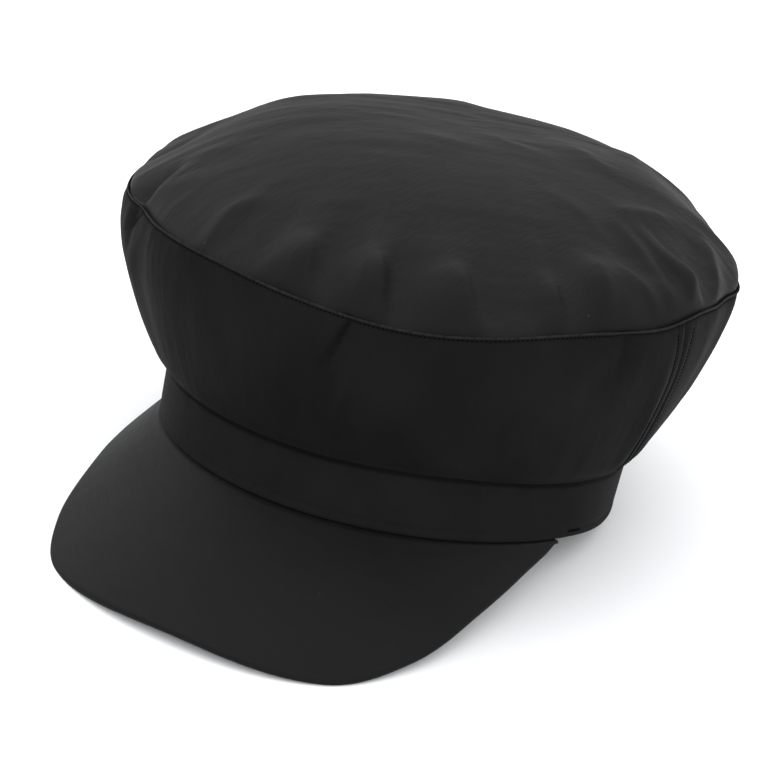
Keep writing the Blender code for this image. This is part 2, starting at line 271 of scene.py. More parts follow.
# Folds in the crown: crest lines in plan from their outer end by a middle point to their inner end, as
# shares of the seam's half width and half length, front at -1. A crest's height is a share of the
# dome's height, and the flanks on its left and right, seen from its outer end, are shares of the seam's
# half width. A crest with root 1 starts at the seam, and one with root 0 fades in
CROWN_FOLDS = {
    "x0": (
        -0.23, 0.15, 0.39, 0.65, 0.82, 0.91, 0.99, 0.92, 0.75, 0.60, 1.01, 1.01, -0.635, -0.72, -0.07,
        0.00, 0.23, -0.34, -0.66, 0.30, -0.66, -0.20, -0.82,
    ),
    "y0": (
        -1.01, -1.02, -0.98, -0.83, -0.67, -0.54, -0.28, -0.20, -0.24, -0.10, -0.21, 0.06, -0.82, -0.76,
        -0.25, 0.08, 0.32, -0.91, -0.57, 0.75, 0.30, 0.62, -0.10,
    ),
    "xm": (
        -0.28, 0.06, 0.28, 0.50, 0.71, 0.79, 0.87, 0.78, 0.57, 0.70, 0.95, 0.90, -0.615, -0.68, 0.04,
        0.20, 0.41, -0.26, -0.55, 0.40, -0.55, -0.30, -0.62,
    ),
    "ym": (
        -0.92, -0.91, -0.86, -0.74, -0.57, -0.43, -0.28, -0.14, -0.19, 0.09, -0.09, 0.19, -0.71, -0.68,
        -0.16, 0.04, 0.20, -0.81, -0.54, 0.55, 0.40, 0.48, 0.02,
    ),
    "x1": (
        -0.25, -0.02, 0.18, 0.37, 0.63, 0.70, 0.72, 0.58, 0.36, 0.77, 0.90, 0.78, -0.61, -0.66, 0.17,
        0.46, 0.60, -0.18, -0.40, 0.35, -0.35, -0.50, -0.45,
    ),
    "y1": (
        -0.76, -0.82, -0.76, -0.67, -0.50, -0.30, -0.34, -0.08, -0.18, 0.33, 0.12, 0.34, -0.55, -0.54,
        -0.13, 0.08, 0.18, -0.73, -0.50, 0.40, 0.45, 0.35, 0.05,
    ),
    "height": (
        0.060, 0.095, 0.110, 0.105, 0.065, 0.150, 0.150, 0.070, 0.045, 0.080, 0.140, 0.140, 0.150, -0.250,
        0.024, 0.030, 0.038, 0.036, 0.036, 0.05, 0.03, 0.03, 0.03,
    ),
    "left": (
        0.045, 0.085, 0.075, 0.085, 0.050, 0.070, 0.045, 0.030, 0.050, 0.040, 0.060, 0.025, 0.022, 0.120,
        0.06, 0.05, 0.05, 0.03, 0.05, 0.08, 0.06, 0.08, 0.06,
    ),
    "right": (
        0.020, 0.028, 0.026, 0.032, 0.030, 0.050, 0.080, 0.040, 0.060, 0.050, 0.022, 0.050, 0.160, 0.028,
        0.08, 0.08, 0.07, 0.05, 0.08, 0.08, 0.06, 0.08, 0.08,
    ),
    "root": (1, 1, 1, 1, 1, 1, 1, 1, 0, 0, 1, 1, 1, 1, 0, 0, 0, 0, 0, 0, 0, 0, 0),
}

# Plain gathers at the crown's seam where the folds leave room: each a crest that runs in from the seam
CROWN_GATHERS = {
    "angle": (116, 127, 141, 152, 167, 181, 194, 209, 222, 238, 251, 266, 279, 292, 303),
    "turn": (5, -4, 6, -5, 4, -6, 5, -4, 6, -5, 4, -5, 6, -4, 5),
    "reach": (0.26, 0.18, 0.30, 0.20, 0.28, 0.17, 0.30, 0.22, 0.27, 0.19, 0.30, 0.20, 0.28, 0.22, 0.26),
    "height": (
        0.03, -0.05, 0.05, -0.06, 0.05, -0.05, 0.06, -0.05, 0.05, -0.06, 0.05, -0.06, 0.04, -0.06, 0.01,
    ),
    "left": (0.07, 0.05, 0.04, 0.05, 0.08, 0.04, 0.07, 0.05, 0.04, 0.05, 0.08, 0.04, 0.07, 0.05, 0.05),
    "right": (0.03, 0.04, 0.08, 0.03, 0.03, 0.06, 0.03, 0.04, 0.08, 0.03, 0.03, 0.06, 0.03, 0.04, 0.03),
}

# Steep faces that the gathers leave just above the seam: widths to the left and right in degrees, and
# heights in metres
CROWN_STEEPS = {
    "angle": (-16, 2, 17, 32, 51, 65, 85, 130, 215),
    "left": (2.5, 5.5, 5.0, 5.5, 3.0, 6.0, 2.2, 6, 6),
    "right": (2.2, 4.0, 3.2, 4.0, 2.0, 6.0, 2.4, 4, 4),
    "height": (0.0015, 0.0062, 0.0072, 0.0058, 0.0022, 0.0082, 0.0062, -0.0010, -0.0010),
}

# Creases drawn into the side panels: the angles of both ends, the half width in degrees, how far up the
# wall the foot lies, and the depth as a share of the seam's height
SIDE_CREASES = {
    "top_angle": (-39, -42.5, 15.8, 64.5, 112, 150, 190, 225, 265, 285),
    "foot_angle": (-49, -46, 10.3, 66, 108, 148, 192, 228, 262, 281),
    "width": (0.7, 1.2, 0.55, 1.7, 2.5, 3, 3, 3, 2.5, 1.5),
    "foot": (0.72, 0.60, 0.46, 0.66, 0.40, 0.35, 0.40, 0.35, 0.40, 0.50),
    "depth": (0.012, 0.012, 0.026, 0.016, 0.014, 0.014, 0.014, 0.014, 0.016, 0.012),
}

# Lobes where a side panel stands out: the angles of both ends, the widths to the left and right in
# degrees, how far up the wall the foot lies, and the height as a share of the seam's height
SIDE_LOBES = {
    "top_angle": (-36, 20.0, 37.5, 58, 76, 118, 156, 198, 232, 270),
    "foot_angle": (-43, 17.0, 31.5, 57, 84, 113, 152, 198, 236, 266),
    "left": (3.5, 2.0, 3.2, 4, 3.0, 5, 5, 5, 5, 5),
    "right": (3.0, 5.5, 6.0, 3, 2.0, 5, 6, 6, 6, 5),
    "foot": (0.62, 0.46, 0.45, 0.62, 0.20, 0.40, 0.45, 0.40, 0.45, 0.40),
    "height": (0.016, 0.050, 0.048, 0.012, 0.020, 0.006, 0.014, 0.014, 0.014, 0.014),
}

# Beads and grooves beside the crown seam and the side seams: how far from the seam each lies, its width
# and how far it stands out, in metres. Those of the side seams fade in below the crown seam
SEAM_EDGE_BEADS = {
    "place": (TOPSTITCH_DROP, 0.0),
    "width": (0.0005, 0.0007),
    "height": (-0.00042, 0.00040),
}
SIDE_SEAM_BEADS = {
    "place": (0.0, 0.0026, SEAM_STITCH_OFFSET),
    "width": (0.0009, 0.0016, 0.0007),
    "height": (-0.0007, 0.00022, -0.00030),
    "fade": (0.004, 0.002, 0.002),
}

# Small puckers in the band just under the fold, as shares of the band's height
BAND_PUCKERS = {
    "angle": (47, 52, 58, 5, -30, 120, 170, 215),
    "width": (1.6, 1.2, 1.8, 3.0, 2.5, 2.5, 3.0, 3.0),
    "depth": (0.030, 0.036, 0.022, 0.014, 0.014, 0.02, 0.02, 0.02),
}

# Layers of ripples in each cloth, broadest first: their heights in metres and how many of their cells a
# metre holds each way. In two of them the broadest layer is moved by some cells
SIDE_RIPPLES = {
    "height": (0.00035, 0.00016, 0.00007),
    "along": (28, 150, 420),
    "up": (16, 30, 60),
}
CROWN_RIPPLES = {
    "height": (0.0008, 0.00022, 0.00007, 0.00003),
    "along": (14, 40, 90, 260),
    "up": (34, 150, 420, 700),
}
BAND_RIPPLES = {
    "height": (0.00030, 0.00008),
    "along": (24, 160),
    "up": (30, 90),
}
PEAK_RIPPLES = {
    "height": (0.00022, 0.00005),
    "along": (26, 170),
    "up": (26, 170),
}
SIDE_RIPPLE_MOVE = (0, 7)
PEAK_RIPPLE_MOVE = (9, 0)


def curve_through(places, values, at):
    """Smooth curve through a table's rows, which stays at its first and last value beyond them."""
    places, values = np.asarray(places, float), np.asarray(values, float)
    slopes = np.gradient(values, places)
    slopes[1:-1] = (values[2:] - values[:-2]) / (places[2:] - places[:-2])
    at = np.clip(at, places[0], places[-1])
    row = np.clip(np.searchsorted(places, at, side="right") - 1, 0, len(places) - 2)
    step = places[row + 1] - places[row]
    t = (at - places[row]) / step
    ends = values[row] * (1 + 2 * t) * (1 - t) ** 2 + values[row + 1] * (3 - 2 * t) * t**2
    return ends + step * (slopes[row] * t * (1 - t) ** 2 + slopes[row + 1] * (t - 1) * t**2)


def curve_round(table, column, at):
    """The same for a table whose angles go once round the cap."""
    angles, values = (np.asarray(table[name], float) for name in ("angle", column))
    wrapped = np.concatenate([angles[-2:] - 360, angles, angles[:2] + 360])
    return curve_through(wrapped, np.concatenate([values[-2:], values, values[:2]]), np.asarray(at) % 360)


def turn_between(angle, other):
    return (angle - other + 180) % 360 - 180


def smooth(low, high, value):
    t = np.clip((value - low) / (high - low), 0, 1)
    return t * t * (3 - 2 * t)


def bell(off, width):
    """A bell curve that is 1 where off is 0."""
    return np.exp(-((off / width) ** 2))


def unit(vectors):
    return vectors / np.linalg.norm(vectors, axis=-1, keepdims=True)


def lengths_along(line):
    """How far along a line each of its points lies."""
    return np.concatenate([[0], np.cumsum(np.linalg.norm(np.diff(line, axis=0), axis=-1))])


class Ripple:
    """Smooth, repeatable unevenness over a plane, from -1 to 1."""

    def __init__(self, seed):
        self.heights = np.random.default_rng(seed).uniform(-1, 1, (64, 64))

    def __call__(self, x, y):
        x, y = np.broadcast_arrays(x, y)
        column, row = np.floor(x).astype(int), np.floor(y).astype(int)
        u, v = x - column, y - row
        u, v = u * u * u * (u * (u * 6 - 15) + 10), v * v * v * (v * (v * 6 - 15) + 10)
        corners = [self.heights[(column + i) % 64, (row + j) % 64] for i in (0, 1) for j in (0, 1)]
        near = corners[0] * (1 - v) + corners[1] * v
        far = corners[2] * (1 - v) + corners[3] * v
        return near * (1 - u) + far * u


BROAD, MEDIUM, FINE, FINER = (Ripple(seed) for seed in (3, 11, 23, 47))


def rippled(table, x, y, move=(0, 0)):
    """Unevenness of a cloth in metres: the sum of its ripples, the broadest moved by some cells."""
    total = 0
    for ripple, height, along, up in zip((BROAD, MEDIUM, FINE, FINER), *table.values()):
        total = total + height * ripple(x * along + move[0], y * up + move[1])
        move = (0, 0)
    return total


def rim_plan(angle):
    """Points of the rim's outer edge and the directions square to it, in plan."""
    turn = np.radians(angle)
    point = np.stack([RIM_HALF_WIDTH * np.sin(turn), -RIM_HALF_LENGTH * np.cos(turn)], -1)
    outward = np.stack([np.sin(turn) / RIM_HALF_WIDTH, -np.cos(turn) / RIM_HALF_LENGTH], -1)
    return point, unit(outward)


def band_face(angle, height):
    point, outward = rim_plan(angle)
    taper = BAND_SIDE_TAPER + (BAND_END_TAPER - BAND_SIDE_TAPER) * np.cos(np.radians(angle)) ** 2
    return point - outward * (taper * height / BAND_HEIGHT)[..., None]


def rim_drop(angle):
    return curve_round(RIM_SAG, "sag", angle) * BAND_HEIGHT


def fold_level(angle):
    return BAND_HEIGHT - FOLD_DROP + curve_round(FOLD_LIFT, "lift", angle)


def seam_point(angle):
    turn = np.radians(angle)
    wave = 1 + curve_round(SEAM_WAVE, "rise", angle)
    height = SEAM_HEIGHT * wave - SEAM_BACK_RISE * np.cos(turn)
    pull = 1 + curve_round(SEAM_PULL, "out", angle)
    across = SEAM_HALF_WIDTH * np.sin(turn) * pull
    along = SEAM_SET_BACK - SEAM_HALF_LENGTH * np.cos(turn) * pull
    return np.stack([across, along, height], -1)


def upright(plan, height):
    return np.concatenate([plan, np.broadcast_to(height, plan.shape[:-1])[..., None]], -1)


def off_line(angle, up, top, bottom, foot):
    """Degrees off a slanting line down a side panel, and shares of the way down to the line's foot."""
    down = (1 - up) / (1 - foot)
    return turn_between(angle, top + turn_between(bottom, top) * down), down


def side_relief(angle, up):
    """How far the lobes and creases stand out from a side panel, in metres."""
    relief = np.zeros(np.broadcast(angle, up).shape)
    for top, bottom, width, foot, share in zip(*SIDE_CREASES.values()):
        off, down = off_line(angle, up, top, bottom, foot)
        across = np.exp(-np.abs(off / (width * (1 + 0.8 * down))) ** 1.6)
        relief -= share * across * smooth(0.0, 0.10, down) * (1 - smooth(0.35, 1.0, down))
    for top, bottom, left, right, foot, share in zip(*SIDE_LOBES.values()):
        off, down = off_line(angle, up, top, bottom, foot)
        across = bell(off, np.where(off < 0, left, right))
        relief += share * across * smooth(0.0, 0.9, down) ** 0.8 * (1 - smooth(0.80, 1.55, down))
    return relief * SEAM_HEIGHT


def wall_point(angle, up):
    """Points of a side panel's wall, at shares of the way up from its fold to the crown seam."""
    _, outward = rim_plan(angle)
    fold_bottom = fold_level(angle)
    start = band_face(angle, fold_bottom) + outward * (FOLD_CLEARANCE + 2 * FOLD_RADIUS)
    start_height = fold_bottom + FOLD_RADIUS
    end = seam_point(angle)
    flare = end[..., :2] - start
    out = curve_through(WALL_PROFILE["up"], WALL_PROFILE["out"], up)
    swell = curve_through(WALL_PROFILE["up"], WALL_PROFILE["swell"], up)
    swell = swell * curve_round(WALL_SWELL, "swell", angle)
    outset = np.linalg.norm(flare, axis=-1) * swell + side_relief(angle, up)
    plan = start + flare * out[..., None] + outward * outset[..., None]
    return upright(plan, start_height + (end[..., 2] - start_height) * up)


def grid_normals(points, round_the_cap):
    """Unit normals of a grid of points, outwards for a wall whose rows run upwards."""
    if round_the_cap:
        across = np.roll(points, -1, 0) - np.roll(points, 1, 0)
    else:
        across = np.gradient(points, axis=0)
    normals = np.cross(across, np.gradient(points, axis=1))
    return normals / (np.linalg.norm(normals, axis=-1, keepdims=True) + 1e-12)


def set_down(points):
    """Tips upright points into the resting pose."""
    turn = Matrix.Rotation(math.radians(-REST_TILT), 3, "X")
    return np.asarray(points) @ np.array(turn).T + np.array(REST_PLACE)


def mesh_piece(name, points, faces, corners=None, layout=None, worn=None):
    """A smooth mesh from upright points, with its flat layout as UVs and how much painted highlight each
    point has.
    """
    resting = set_down(points)
    resting[:, 2] = np.maximum(resting[:, 2], REST_CLEARANCE)
    mesh = bpy.data.meshes.new(name)
    mesh.from_pydata(resting.tolist(), [], faces)
    mesh.shade_smooth()
    if layout is not None:
        table = mesh.uv_layers.new(name="cloth")
        table.data.foreach_set("uv", np.asarray(layout, np.float32)[np.asarray(corners)].ravel())
    if worn is not None:
        wear = mesh.attributes.new("worn", "FLOAT", "POINT")
        wear.data.foreach_set("value", np.asarray(worn, np.float32).ravel())
    item = bpy.data.objects.new(name, mesh)
    bpy.context.scene.collection.objects.link(item)
    return item


def grid_faces(around, across, wrap_around, wrap_across):
    """Quads over a grid of points, and the same quads over its layout, which isn't wrapped."""
    i, j = np.meshgrid(
        np.arange(around if wrap_around else around - 1),
        np.arange(across if wrap_across else across - 1),
        indexing="ij",
    )
    i, j = i.ravel(), j.ravel()
    wide = across + 1

    def point(a, b):
        return (a % around) * across + b % across

    faces = np.stack([point(i, j), point(i + 1, j), point(i + 1, j + 1), point(i, j + 1)], 1)
    corners = np.stack([i * wide + j, (i + 1) * wide + j, (i + 1) * wide + j + 1, i * wide + j + 1], 1)
    return faces, corners


def closed_sections(points, inside_out):
    """Faces and layout corners of a row of closed sections, with a face over both of its ends."""
    around, sections = points.shape[:2]
    faces, corners = (quads.tolist() for quads in grid_faces(around, sections, False, True))
    for loops, wide in ((faces, sections), (corners, sections + 1)):
        end = np.arange(sections)
        loops += [end.tolist(), (end + (around - 1) * wide)[::-1].tolist()]
    if inside_out:
        faces, corners = ([loop[::-1] for loop in loops] for loops in (faces, corners))
    return faces, [corner for loop in corners for corner in loop]


def layout_of(points, starts, wrap_around):
    """Flat layout of a grid in metres: along the rows, and up the columns from their own start."""
    after_last = points[:1] if wrap_around else points[-1:]
    extended = np.concatenate([points, after_last], 0)
    extended = np.concatenate([extended, extended[:, :1]], 1)
    along = lengths_along(extended[:, starts])
    steps = np.linalg.norm(np.diff(extended, axis=1), axis=-1)
    up = np.concatenate([np.zeros((len(extended), 1)), np.cumsum(steps, axis=1)], 1)
    up = up - up[:, starts : starts + 1]
    return np.stack([np.broadcast_to(along[:, None], up.shape), up], -1).reshape(-1, 2)


def fold_sections(feet):
    """Rows of a side panel over the band's top, down the band's face and round the fold."""
    _, outward = rim_plan(feet)
    fold_bottom = fold_level(feet)
    top_face = band_face(feet, np.full_like(feet, BAND_HEIGHT))
    rows = [
        upright(top_face - outward * 0.6 * BAND_WALL, BAND_HEIGHT + GAP),
        upright(top_face, BAND_HEIGHT + GAP),
        upright(top_face + outward * GAP, BAND_HEIGHT + 0.3 * GAP),
        upright(top_face + outward * FOLD_CLEARANCE, BAND_HEIGHT - 2 * GAP),
    ]
    centre = band_face(feet, fold_bottom) + outward * (FOLD_CLEARANCE + FOLD_RADIUS)
    for turn in np.radians((180, 202, 225, 247, 270, 292, 315, 337)):
        level = fold_bottom + FOLD_RADIUS * (1 + math.sin(turn))
        rows.append(upright(centre + outward * FOLD_RADIUS * math.cos(turn), level))
    return rows


def wall_relief(along, below, ups, height):
    """Unevenness of a side panel, with the beads, grooves and puckers beside its seams, in metres."""
    relief = rippled(SIDE_RIPPLES, along, below, SIDE_RIPPLE_MOVE)
    relief *= smooth(0.0, 0.006, below) * smooth(0.0, 0.004, height - below)
    pucker = FINER(along * 190, below * 20 + 3) + 0.6 * FINE(along * 80, below * 10)
    relief += SIDE_PUCKER_HEIGHT * pucker * bell(below - SIDE_PUCKER_DROP, SIDE_PUCKER_SPREAD)
    for place, width, bead in zip(*SEAM_EDGE_BEADS.values()):
        relief += bead * bell(below - place, width)
    to_seam = np.minimum(along, along[-1] - along) * (0.82 + 0.18 * ups)
    for place, width, bead, fade in zip(*SIDE_SEAM_BEADS.values()):
        relief += bead * bell(to_seam - place, width) * smooth(0.0, fade, below)
    return relief


def rounded_edge(outer, inner):
    """Rows round the top edge of a side panel, from its outer face to its inner one."""
    top, bottom = outer[:, -1], inner[:, -1]
    rise = unit(top - outer[:, -3])
    half = (top - bottom) / 2
    radius = np.linalg.norm(half, axis=-1, keepdims=True)
    middle = (top + bottom) / 2
    turns = np.radians((36, 72, 108, 144))
    rows = [middle + half * math.cos(turn) + rise * radius * math.sin(turn) for turn in turns]
    return np.stack(rows, 1)


def build_side(name, spacing, low_foot, high_foot, low_top, high_top):
    """A side panel: over the band, round its fold, up the wall, over its top edge and down inside."""
    share = np.linspace(0, 1, round((high_foot - low_foot) / spacing))
    near_end = np.array([0.0012, 0.003, 0.005, 0.008, 0.012])
    share = np.unique(np.concatenate([share, near_end, 1 - near_end]))
    feet = low_foot + (high_foot - low_foot) * share
    tops = low_top + (high_top - low_top) * share
    rows = fold_sections(feet)
    fold_rows = len(rows)
    height = SEAM_HEIGHT - BAND_HEIGHT + FOLD_DROP
    fine = 1 - np.arange(EDGE_ROWS, 0, -1) * EDGE_ROW_PITCH / height
    ups = np.concatenate([np.linspace(0, fine[0], WALL_ROWS)[:-1], fine, [1.0]])
    angles = feet[:, None] + (tops - feet)[:, None] * ups
    wall = wall_point(angles, np.broadcast_to(ups, angles.shape))
    points = np.concatenate([np.stack(rows, 1), wall], 1)
    normals = grid_normals(points, False)
    below = (1 - ups) * height
    along = lengths_along(wall[:, -1])
    relief = wall_relief(along[:, None], below, ups, height)
    points[:, fold_rows:] += normals[:, fold_rows:] * relief[..., None]
    thickness = np.full(points.shape[1], CLOTH_WALL)
    thickness[fold_rows:] -= (CLOTH_WALL - SEAM_EDGE) * bell(below, SEAM_EDGE_TAPER)
    inner = points - normals * thickness[:, None]
    outer_rows = points.shape[1]
    keep = [0, 3, 5, 7, 9, 11, *range(fold_rows + 1, outer_rows - 1, 5), outer_rows - 1]
    loop = np.concatenate([points, rounded_edge(points, inner), inner[:, keep][:, ::-1]], 1)
    # Painted highlight on the side panel's top edge along the crown seam: strongest on the wall's last
    # rows and the rounded edge, uneven along the seam
    worn = np.zeros(loop.shape[:2])
    worn[:, fold_rows:outer_rows] = bell(below, PAINTED_HIGHLIGHT_WIDTH)
    worn[:, outer_rows : outer_rows + 2] = (0.7, 0.3)
    worn *= 0.6 + 0.4 * MEDIUM(np.arange(len(loop))[:, None] * 0.9, 0.0)
    faces, corners = closed_sections(loop, False)
    layout = layout_of(loop, fold_rows, False)
    piece = mesh_piece(name, loop.reshape(-1, 3), faces, corners, layout, worn)
    row = fold_rows + int(np.argmin(np.abs(below - TOPSTITCH_DROP)))
    lines = [(points[:, row], normals[:, row])]
    for way in (along, along[-1] - along):
        column = int(np.argmin(np.abs(way - SEAM_STITCH_OFFSET)))
        lines.append((points[column, fold_rows:-10], normals[column, fold_rows:-10]))
    return piece, lines


def crown_crests():
    """All the crown's folds, the gathers put into the same form as the long folds."""
    crests = list(zip(*CROWN_FOLDS.values()))
    for angle, turn, reach, height, left, right in zip(*CROWN_GATHERS.values()):
        places = []
        for share, way in ((0.0, 1.03), (0.5, 1 - reach / 2), (1.0, 1 - reach)):
            heading = math.radians(angle + turn * share)
            places += [way * math.sin(heading), -way * math.cos(heading)]
        crests.append((*places, height, left, right, 1))
    return crests


def crown_fold(x, y):
    """Height that the folds add over the plan of the crown."""
    height = np.zeros(x.shape)
    t = np.linspace(0, 1, 60)
    for x0, y0, xm, ym, x1, y1, crest, left, right, root in crown_crests():
        cx = (1 - t) ** 2 * x0 + 2 * t * (1 - t) * (2 * xm - (x0 + x1) / 2) + t**2 * x1
        cy = (1 - t) ** 2 * y0 + 2 * t * (1 - t) * (2 * ym - (y0 + y1) / 2) + t**2 * y1
        near = np.argmin((x[..., None] - cx) ** 2 + (y[..., None] - cy) ** 2, -1)
        run_x, run_y = np.gradient(cx)[near], np.gradient(cy)[near]
        length = np.hypot(run_x, run_y)
        gap_x, gap_y = x - cx[near], y - cy[near]
        side = (run_x * gap_y - run_y * gap_x) / length
        beyond = np.where((near == 0) | (near == 59), (run_x * gap_x + run_y * gap_y) / length, 0)
        off = np.sqrt(side**2 + beyond**2 + 0.006**2) - 0.006
        flank = left + (right - left) * smooth(-1.0, 1.0, -side / (off + 0.008))
        along = t[near]
        fade = (root + (1 - root) * smooth(0.0, 0.4, along)) * (1 - smooth(0.45, 1.0, along))
        height += crest * fade * np.exp(-((off / flank) ** 1.4))
    return height * DOME_HEIGHT


def crown_angles():
    """Angles of the crown's stations, closest together where the folds are sharpest."""
    even = np.linspace(-180, 180, 1441)
    close = 0.9 + 1.1 * smooth(-78, -66, even) * (1 - smooth(112, 124, even))
    spread = np.concatenate([[0], np.cumsum(close[:-1])])
    return np.interp(np.linspace(0, spread[-1], CROWN_STATIONS, endpoint=False), spread, even)


def crown_edge(angles):
    """The crown's edge inside the side panels' top, and the directions inwards and up the wall there."""
    top = wall_point(angles, np.ones_like(angles))
    run = unit(top - wall_point(angles, np.full_like(angles, 0.92)))
    inward = -unit(np.cross(np.roll(top, -1, 0) - np.roll(top, 1, 0), run))
    return top + inward * (SEAM_EDGE + GAP) - run * GAP, inward, run


def crown_steeps(angle, way):
    """How far the steep faces just above the seam raise the crown, in metres."""
    total = np.zeros(angle.shape)
    for place, left, right, rise in zip(*CROWN_STEEPS.values()):
        off = turn_between(angle, place)
        total += rise * np.exp(-np.abs(off / np.where(off < 0, left, right)) ** 3)
    return total * (1 - np.exp(-way / STEEP_START)) * bell(way, STEEP_REACH)


def crown_dome(angles, edge, inward):
    """Outer face of the crown, from its edge over the folds to its apex."""
    ways = np.concatenate([np.linspace(0, 1, CROWN_RINGS)[:-1] ** 1.3, [0.995]])
    angle, way = np.meshgrid(angles, ways, indexing="ij")
    apex = np.array([-APEX_LEFT, APEX_BACK, SEAM_HEIGHT + DOME_HEIGHT - APEX_SINK])
    plan = edge[:, None, :2] + (apex[:2] - edge[:, None, :2]) * way[..., None]
    bagging = curve_round(CROWN_OVERHANG, "out", angle) * way / BAG_PLACE * np.exp(1 - way / BAG_PLACE)
    plan -= inward[:, None, :2] * bagging[..., None]
    power = curve_round(DOME_FULLNESS, "power", angle)
    height = edge[:, None, 2] + (apex[2] - edge[:, None, 2]) * (1 - (1 - way) ** power)
    clear = 1 - np.exp(-way / FOLD_START)
    height += crown_fold(plan[..., 0] / SEAM_HALF_WIDTH, plan[..., 1] / SEAM_HALF_LENGTH) * clear
    slant = plan[..., 0] * CRINKLE_WAY[0] + plan[..., 1] * CRINKLE_WAY[1]
    cross = -plan[..., 0] * CRINKLE_WAY[1] + plan[..., 1] * CRINKLE_WAY[0]
    height += smooth(0.0, RIPPLE_START, way) * rippled(CROWN_RIPPLES, slant, cross)
    gather = MEDIUM(np.radians(angle) * 26 + 40, way * 6) * bell(way, GATHER_REACH)
    height += GATHER_HEIGHT * gather * clear + crown_steeps(angle, way)
    lean = (1 - np.exp(-way / LEAN_START)) * np.exp(-way / LEAN_REACH)
    lean *= curve_round(CROWN_LEAN, "lean", angle)
    plan -= inward[:, None, :2] * lean[..., None]
    return np.concatenate([plan, (height + lean)[..., None]], -1)


def close_crown(outer, inner):
    """Points and faces of the crown's wall: both faces, the edge between them and fans over the apex."""
    around, outer_rows = outer.shape[:2]
    coarse, inner_rows = inner.shape[:2]
    start = around * outer_rows
    points = np.concatenate([outer.reshape(-1, 3), inner.reshape(-1, 3)], 0)
    faces = grid_faces(around, outer_rows, True, False)[0].tolist()
    inner_faces = start + grid_faces(coarse, inner_rows, True, False)[0]
    for i, column in enumerate(inner_faces.reshape(coarse, inner_rows - 1, 4).tolist()):
        inner_edge = [start + (i + step) % coarse * inner_rows + inner_rows - 1 for step in (0, 1)]
        outer_edge = [(INNER_STEP * i + step) % around * outer_rows for step in range(INNER_STEP, -1, -1)]
        faces += [*column, inner_edge + outer_edge]
    fans = ((outer_rows - 1, outer_rows, around, 1), (start, inner_rows, coarse, -1))
    for first, step, count, way in fans:
        ring = [first + step * i for i in range(count)][::way]
        middle = len(points)
        points = np.concatenate([points, points[ring].mean(0)[None]], 0)
        faces += [[a, b, middle] for a, b in zip(ring, ring[1:] + ring[:1])]
    return points, faces


def build_crown():
    """The crown's domed top, gathered at its seam, with its seam allowance inside the side panels."""
    angles = crown_angles()
    edge, inward, run = crown_edge(angles)
    tuck = inward * SEAM_ALLOWANCE_TUCK - run * SEAM_ALLOWANCE
    allowance = np.stack([edge + tuck * share for share in (1.0, 0.66, 0.33)], 1)
    points = np.concatenate([allowance, crown_dome(angles, edge, inward)], 1)
    keep = [0, 2, *range(3, points.shape[1], INNER_STEP)]
    inner = (points - grid_normals(points, True) * CLOTH_WALL)[:, keep][:, ::-1]
    inner[:, -1] += (points[:, 0] - inner[:, -1]) * 0.2
    points, faces = close_crown(points, inner[::INNER_STEP])
    corners = [corner for face in faces for corner in face]
    return mesh_piece("crown_cloth", points, faces, corners, points[:, :2])


def floor_height(y):
    """Height of the floor in the upright cap's frame, where the back of the rim is pressed flat on it."""
    return RIM_FLATTENING + (y - RIM_HALF_LENGTH) * math.tan(math.radians(REST_TILT))


def band_section():
    """Insets and heights round the band's section: up the outer face from its hem, and down inside."""
    hem = BAND_WALL / 2
    turns = np.radians((75, 55, 35, 15))
    bend = [(hem * (1 - math.cos(turn)), hem * (1 - math.sin(turn))) for turn in turns]
    outer = [(0.0, share * BAND_HEIGHT) for share in np.linspace(0.055, 0.98, 40)]
    top = [(BAND_EDGE, BAND_HEIGHT), (BAND_WALL - BAND_EDGE, BAND_HEIGHT)]
    inner = [(BAND_WALL, share * BAND_HEIGHT) for share in np.linspace(0.98, 0.055, 8)]
    inner_bend = [(BAND_WALL - inset, height) for inset, height in reversed(bend)]
    return [*bend, *outer, *top, *inner, *inner_bend, (hem, 0.0)]


def band_dents(angles, level):
    """How far the hem's line and the puckers are pressed into the band's outer face, in metres."""
    dents = HEM_LINE_DEPTH * bell(level - HEM_LINE, HEM_LINE_WIDTH)
    for angle, width, depth in zip(*BAND_PUCKERS.values()):
        across = bell(turn_between(angles, angle), width)
        dents += depth * BAND_HEIGHT * across * bell(level - BAND_PUCKER_LEVEL, BAND_PUCKER_SPREAD)
    return dents


def build_band():
    """The head band, hemmed at its rim and pressed flat where it rests, and the lines of its bar tack."""
    angles = np.linspace(-180, 180, BAND_STATIONS, endpoint=False)
    _, outward = rim_plan(angles)
    along = np.radians(angles) * RIM_HALF_WIDTH
    rows = []
    for inset, height in band_section():
        level = np.full_like(angles, height)
        outer = inset < BAND_WALL / 2
        relief = rippled(BAND_RIPPLES, along, level) - outer * band_dents(angles, level)
        relief *= smooth(0.0, 0.004, level) * smooth(0.0, 0.004, BAND_HEIGHT - level)
        relief -= outer * PINCH_DEPTH * smooth(PINCH_START, PINCH_END, level - fold_level(angles))
        plan = band_face(angles, level) + outward * (relief - inset)[:, None]
        raised = level - rim_drop(angles) * (1 - level / BAND_HEIGHT)
        if height < BAND_WALL / 2:
            raised = np.maximum(raised, floor_height(plan[:, 1]))
        rows.append(upright(plan, raised))
    points = np.stack(rows, 1)
    faces, corners = grid_faces(points.shape[0], points.shape[1], True, True)
    layout = layout_of(points, 0, True)
    piece = mesh_piece("band_cloth", points.reshape(-1, 3), faces.tolist(), corners.ravel(), layout)
    first, last = (int(np.argmin(np.abs(angles - end))) for end in TACK_ENDS)
    square = upright(rim_plan(angles[first:last])[1], 0.0)
    return piece, [(points[first:last, 5] + [0, 0, rise], square) for rise in TACK_RISES]


